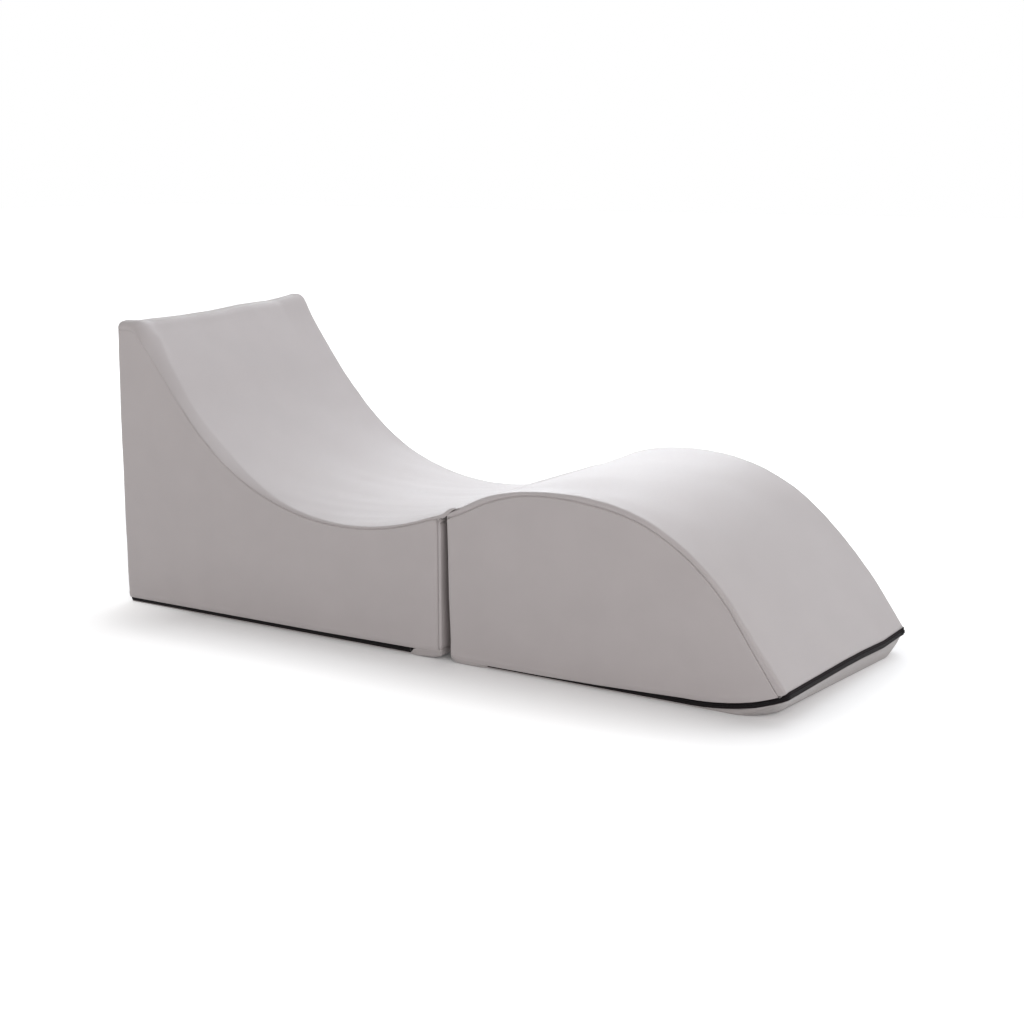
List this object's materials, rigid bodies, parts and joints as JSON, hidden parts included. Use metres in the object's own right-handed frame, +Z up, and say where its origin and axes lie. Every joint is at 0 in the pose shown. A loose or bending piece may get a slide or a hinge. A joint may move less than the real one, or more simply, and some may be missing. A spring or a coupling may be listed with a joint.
{
  "type": "folding foam chaise lounger",
  "caption": "Low spa relaxation lounger of two fabric-covered foam blocks with an S-shaped top, hinged at the fold and zipped round the base.",
  "frame": {"origin": "bottom centre of the part's box, on the floor", "axes": "+Z up; +X from the head end to the foot end; +Y to the user's left"},
  "size_m": [1.83, 0.65, 0.733],
  "materials": {
    "cover_fabric": "satin",
    "base_fabric": "satin",
    "zip_tape": "matte",
    "zip_teeth": "satin",
    "zip_hardware": "satin",
    "liner_cloth": "matte",
    "soft_foam": "matte",
    "firm_foam": "matte"
  },
  "bodies": {
    "back_block": {"back_top_panel": "cover_fabric", "back_fold_panel": "cover_fabric", "back_rear_panel": "cover_fabric", "back_side_panel_left": "cover_fabric", "back_side_panel_right": "cover_fabric", "back_base_panel": "base_fabric", "back_zip_tape_upper": "zip_tape", "back_zip_tape_lower": "zip_tape", "back_zip_teeth_upper": "zip_teeth", "back_zip_teeth_lower": "zip_teeth", "back_zip_end_stops": "zip_hardware", "back_inner_liner": "liner_cloth", "back_comfort_layer": "soft_foam", "back_foam_core": "firm_foam", "hinge_strip_back": "cover_fabric", "hinge_seam_bead": "cover_fabric"},
    "leg_block": {"leg_top_panel": "cover_fabric", "leg_fold_panel": "cover_fabric", "leg_side_panel_left": "cover_fabric", "leg_side_panel_right": "cover_fabric", "leg_base_panel": "base_fabric", "leg_zip_tape_upper": "zip_tape", "leg_zip_tape_lower": "zip_tape", "leg_zip_teeth_upper": "zip_teeth", "leg_zip_teeth_lower": "zip_teeth", "leg_zip_end_stops": "zip_hardware", "leg_inner_liner": "liner_cloth", "leg_comfort_layer": "soft_foam", "leg_foam_core": "firm_foam", "hinge_strip_leg": "cover_fabric"},
    "back_zip_slider": {"back_zip_slider": "zip_hardware"},
    "back_zip_pull": {"back_zip_pull": "zip_hardware"},
    "leg_zip_slider": {"leg_zip_slider": "zip_hardware"},
    "leg_zip_pull": {"leg_zip_pull": "zip_hardware"}
  },
  "joints": [
    {"name": "fold_hinge", "type": "hinge", "parent": "back_block", "child": "leg_block", "pos_m": [0.085, 0, 0.355], "axis": [0, -1, 0], "range_deg": [0, 180]},
    {"name": "back_zip_slide", "type": "slide", "parent": "back_block", "child": "back_zip_slider", "axis": [-1, 0, 0], "range_m": [0, 0.85]},
    {"name": "back_pull_swing", "type": "hinge", "parent": "back_zip_slider", "child": "back_zip_pull", "pos_m": [-0.0373, 0.3232, 0.0095], "axis": [0, 0, -1], "range_deg": [0, 160]},
    {"name": "leg_zip_slide", "type": "slide", "parent": "leg_block", "child": "leg_zip_slider", "axis": [1, 0, 0], "range_m": [0, 0.48]},
    {"name": "leg_pull_swing", "type": "hinge", "parent": "leg_zip_slider", "child": "leg_zip_pull", "pos_m": [0.2073, 0.3232, 0.0095], "axis": [0, 0, 1], "range_deg": [0, 160]}
  ]
}
